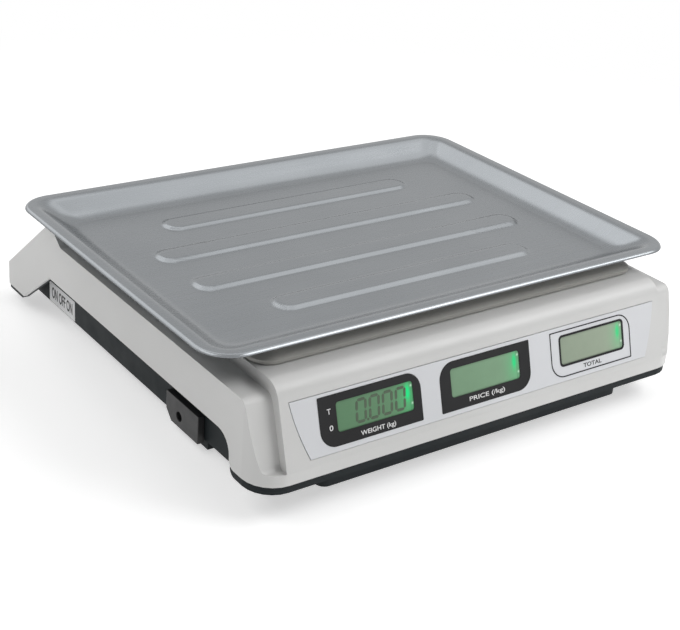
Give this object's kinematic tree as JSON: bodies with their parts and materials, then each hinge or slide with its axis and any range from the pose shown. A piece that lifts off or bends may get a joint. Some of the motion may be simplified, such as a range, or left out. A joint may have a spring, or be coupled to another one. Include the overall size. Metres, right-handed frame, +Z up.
{
  "type": "price computing counter scale",
  "caption": "Flat counter-top price computing scale with a lift-off stainless tray, customer displays in the front panel and a sloped vendor keypad.",
  "frame": {"origin": "on the surface the scale stands on, under the middle of its overall box", "axes": "+X along the row of customer displays, to the right as the customer sees it; +Y from the customer to the vendor's keypad; +Z up"},
  "size_m": [0.34, 0.324, 0.089],
  "materials": {
    "white_plastic": "moulded warm white plastic, fine satin grain",
    "charcoal_plastic": "moulded bluish charcoal plastic, matt",
    "black_plastic": "moulded black plastic",
    "stainless": "satin stainless sheet",
    "cell_aluminium": "milled aluminium",
    "bright_steel": "plated steel fasteners",
    "rubber": "black rubber",
    "overlay_film": "printed film, silver white",
    "lcd_face": "green backlit liquid crystal display",
    "circuit_board": "green circuit board",
    "key_plastic": "moulded grey key caps"
  },
  "bodies": {
    "housing": {"top_shell": "white_plastic", "base": "charcoal_plastic", "battery_door": "charcoal_plastic", "power_switch_body": "black_plastic", "charger_socket": "black_plastic", "battery": "black_plastic", "load_cell": "cell_aluminium", "cell_foot_spacer": "cell_aluminium", "cell_foot_bolt_1": "bright_steel", "cell_foot_bolt_2": "bright_steel", "battery_door_screw": "bright_steel", "case_screw_front_left": "bright_steel", "case_screw_front_right": "bright_steel", "case_screw_rear_left": "bright_steel", "case_screw_rear_right": "bright_steel", "customer_overlay": "overlay_film", "keypad_overlay": "overlay_film", "customer_display_1": "lcd_face", "customer_display_2": "lcd_face", "customer_display_3": "lcd_face", "vendor_display_1": "lcd_face", "vendor_display_2": "lcd_face", "vendor_display_3": "lcd_face", "main_board": "circuit_board", "customer_display_board": "circuit_board", "vendor_board": "circuit_board"},
    "platform": {"pan_carrier": "white_plastic", "tray_pad_front_left": "rubber", "tray_pad_front_right": "rubber", "tray_pad_rear_left": "rubber", "tray_pad_rear_right": "rubber", "cell_head_spacer": "cell_aluminium", "cell_head_bolt_1": "bright_steel", "cell_head_bolt_2": "bright_steel"},
    "tray": {"weighing_tray": "stainless"},
    "rocker": {"power_rocker": "black_plastic"},
    "key_r1_c1_cap": {"key_r1_c1": "key_plastic"},
    "key_r1_c2_cap": {"key_r1_c2": "key_plastic"},
    "key_r1_c3_cap": {"key_r1_c3": "key_plastic"},
    "key_r1_c4_cap": {"key_r1_c4": "key_plastic"},
    "key_r1_c5_cap": {"key_r1_c5": "key_plastic"},
    "key_r1_c6_cap": {"key_r1_c6": "key_plastic"},
    "key_r2_c1_cap": {"key_r2_c1": "key_plastic"},
    "key_r2_c2_cap": {"key_r2_c2": "key_plastic"},
    "key_r2_c3_cap": {"key_r2_c3": "key_plastic"},
    "key_r2_c4_cap": {"key_r2_c4": "key_plastic"},
    "key_r2_c5_cap": {"key_r2_c5": "key_plastic"},
    "key_r2_c6_cap": {"key_r2_c6": "key_plastic"},
    "key_r3_c1_cap": {"key_r3_c1": "key_plastic"},
    "key_r3_c2_cap": {"key_r3_c2": "key_plastic"},
    "key_r3_c3_cap": {"key_r3_c3": "key_plastic"},
    "key_r3_c4_cap": {"key_r3_c4": "key_plastic"},
    "key_r3_c5_cap": {"key_r3_c5": "key_plastic"},
    "key_r3_c6_cap": {"key_r3_c6": "key_plastic"},
    "foot_front_left": {"levelling_foot_front_left": "rubber"},
    "foot_front_right": {"levelling_foot_front_right": "rubber"},
    "foot_rear_left": {"levelling_foot_rear_left": "rubber"},
    "foot_rear_right": {"levelling_foot_rear_right": "rubber"}
  },
  "joints": [
    {"name": "platform_deflection", "type": "slide", "parent": "housing", "child": "platform", "axis": [0, 0, 1], "range_m": [-0.0004, 0], "stiffness_N_per_m": 60000, "springref_m": 0.0004, "deforming": ["load_cell"]},
    {"name": "tray_lift_off", "type": "slide", "parent": "platform", "child": "tray", "axis": [0, 0, 1], "range_m": [0, 0.12]},
    {"name": "power_rocker_swing", "type": "hinge", "parent": "housing", "child": "rocker", "pos_m": [-0.121, 0.104, 0.0095], "axis": [1, 0, 0], "range_deg": [-10, 10]},
    {"name": "key_r1_c1_press", "type": "slide", "parent": "housing", "child": "key_r1_c1_cap", "axis": [0, -0.6198, -0.7848], "range_m": [0, 0.001], "stiffness_N_per_m": 300, "springref_m": -0.001},
    {"name": "key_r1_c2_press", "type": "slide", "parent": "housing", "child": "key_r1_c2_cap", "axis": [0, -0.6198, -0.7848], "range_m": [0, 0.001], "stiffness_N_per_m": 300, "springref_m": -0.001},
    {"name": "key_r1_c3_press", "type": "slide", "parent": "housing", "child": "key_r1_c3_cap", "axis": [0, -0.6198, -0.7848], "range_m": [0, 0.001], "stiffness_N_per_m": 300, "springref_m": -0.001},
    {"name": "key_r1_c4_press", "type": "slide", "parent": "housing", "child": "key_r1_c4_cap", "axis": [0, -0.6198, -0.7848], "range_m": [0, 0.001], "stiffness_N_per_m": 300, "springref_m": -0.001},
    {"name": "key_r1_c5_press", "type": "slide", "parent": "housing", "child": "key_r1_c5_cap", "axis": [0, -0.6198, -0.7848], "range_m": [0, 0.001], "stiffness_N_per_m": 300, "springref_m": -0.001},
    {"name": "key_r1_c6_press", "type": "slide", "parent": "housing", "child": "key_r1_c6_cap", "axis": [0, -0.6198, -0.7848], "range_m": [0, 0.001], "stiffness_N_per_m": 300, "springref_m": -0.001},
    {"name": "key_r2_c1_press", "type": "slide", "parent": "housing", "child": "key_r2_c1_cap", "axis": [0, -0.6198, -0.7848], "range_m": [0, 0.001], "stiffness_N_per_m": 300, "springref_m": -0.001},
    {"name": "key_r2_c2_press", "type": "slide", "parent": "housing", "child": "key_r2_c2_cap", "axis": [0, -0.6198, -0.7848], "range_m": [0, 0.001], "stiffness_N_per_m": 300, "springref_m": -0.001},
    {"name": "key_r2_c3_press", "type": "slide", "parent": "housing", "child": "key_r2_c3_cap", "axis": [0, -0.6198, -0.7848], "range_m": [0, 0.001], "stiffness_N_per_m": 300, "springref_m": -0.001},
    {"name": "key_r2_c4_press", "type": "slide", "parent": "housing", "child": "key_r2_c4_cap", "axis": [0, -0.6198, -0.7848], "range_m": [0, 0.001], "stiffness_N_per_m": 300, "springref_m": -0.001},
    {"name": "key_r2_c5_press", "type": "slide", "parent": "housing", "child": "key_r2_c5_cap", "axis": [0, -0.6198, -0.7848], "range_m": [0, 0.001], "stiffness_N_per_m": 300, "springref_m": -0.001},
    {"name": "key_r2_c6_press", "type": "slide", "parent": "housing", "child": "key_r2_c6_cap", "axis": [0, -0.6198, -0.7848], "range_m": [0, 0.001], "stiffness_N_per_m": 300, "springref_m": -0.001},
    {"name": "key_r3_c1_press", "type": "slide", "parent": "housing", "child": "key_r3_c1_cap", "axis": [0, -0.6198, -0.7848], "range_m": [0, 0.001], "stiffness_N_per_m": 300, "springref_m": -0.001},
    {"name": "key_r3_c2_press", "type": "slide", "parent": "housing", "child": "key_r3_c2_cap", "axis": [0, -0.6198, -0.7848], "range_m": [0, 0.001], "stiffness_N_per_m": 300, "springref_m": -0.001},
    {"name": "key_r3_c3_press", "type": "slide", "parent": "housing", "child": "key_r3_c3_cap", "axis": [0, -0.6198, -0.7848], "range_m": [0, 0.001], "stiffness_N_per_m": 300, "springref_m": -0.001},
    {"name": "key_r3_c4_press", "type": "slide", "parent": "housing", "child": "key_r3_c4_cap", "axis": [0, -0.6198, -0.7848], "range_m": [0, 0.001], "stiffness_N_per_m": 300, "springref_m": -0.001},
    {"name": "key_r3_c5_press", "type": "slide", "parent": "housing", "child": "key_r3_c5_cap", "axis": [0, -0.6198, -0.7848], "range_m": [0, 0.001], "stiffness_N_per_m": 300, "springref_m": -0.001},
    {"name": "key_r3_c6_press", "type": "slide", "parent": "housing", "child": "key_r3_c6_cap", "axis": [0, -0.6198, -0.7848], "range_m": [0, 0.001], "stiffness_N_per_m": 300, "springref_m": -0.001},
    {"name": "foot_turn_front_left", "type": "hinge", "parent": "housing", "child": "foot_front_left", "pos_m": [-0.12, -0.11, 0.012], "axis": [0, 0, 1], "continuous": true},
    {"name": "foot_turn_front_right", "type": "hinge", "parent": "housing", "child": "foot_front_right", "pos_m": [0.12, -0.11, 0.012], "axis": [0, 0, 1], "continuous": true},
    {"name": "foot_turn_rear_left", "type": "hinge", "parent": "housing", "child": "foot_rear_left", "pos_m": [-0.12, 0.132, 0.012], "axis": [0, 0, 1], "continuous": true},
    {"name": "foot_turn_rear_right", "type": "hinge", "parent": "housing", "child": "foot_rear_right", "pos_m": [0.12, 0.132, 0.012], "axis": [0, 0, 1], "continuous": true}
  ]
}
